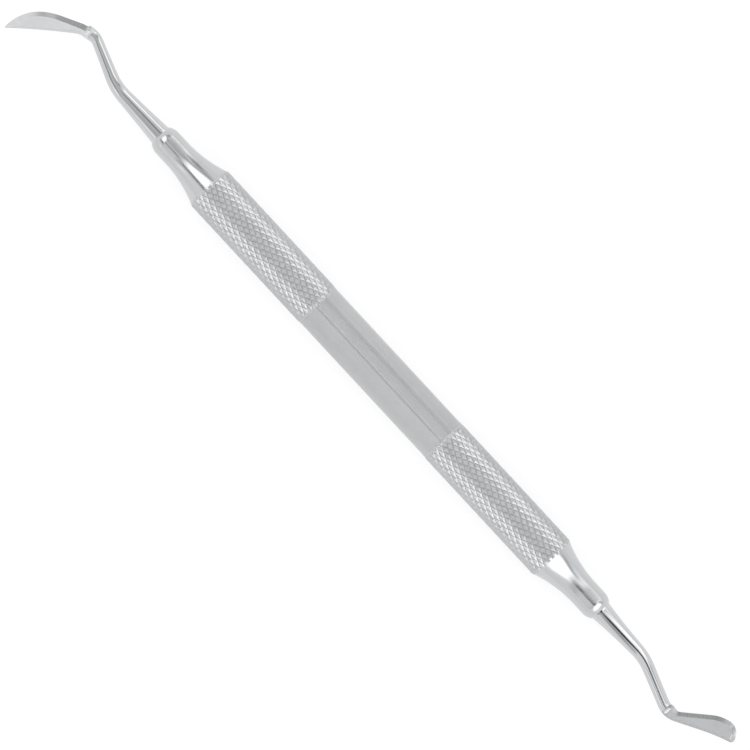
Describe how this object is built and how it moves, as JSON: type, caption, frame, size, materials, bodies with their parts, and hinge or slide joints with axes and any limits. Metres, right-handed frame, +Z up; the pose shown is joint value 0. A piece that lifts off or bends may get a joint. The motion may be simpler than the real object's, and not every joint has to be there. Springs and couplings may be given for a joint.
{
  "type": "gingivectomy knife",
  "caption": "Double-ended gum surgery knife: a knurled round steel handle with an angled pointed blade at one end and an angled round-toed blade at the other.",
  "frame": {"origin": "under the middle of the whole knife, on the surface that its knurled handle lies on", "axes": "+X along the handle, from the pointed working end to the rounded one; +Y in the level plane of the bends, to the side on which the pointed end's knee stands out; +Z up, out of the flats of both blades"},
  "size_m": [0.1654, 0.0108, 0.0082],
  "materials": {
    "satin_steel": "satin stainless steel on the smooth grip and the knurl, polished on the tapers and the noses",
    "polished_steel": "polished stainless steel on the shanks, finely ground on the flats and bevels of the blades"
  },
  "bodies": {
    "root": {"handle": "satin_steel", "pointed_working_end": "polished_steel", "rounded_working_end": "polished_steel"}
  },
  "joints": []
}
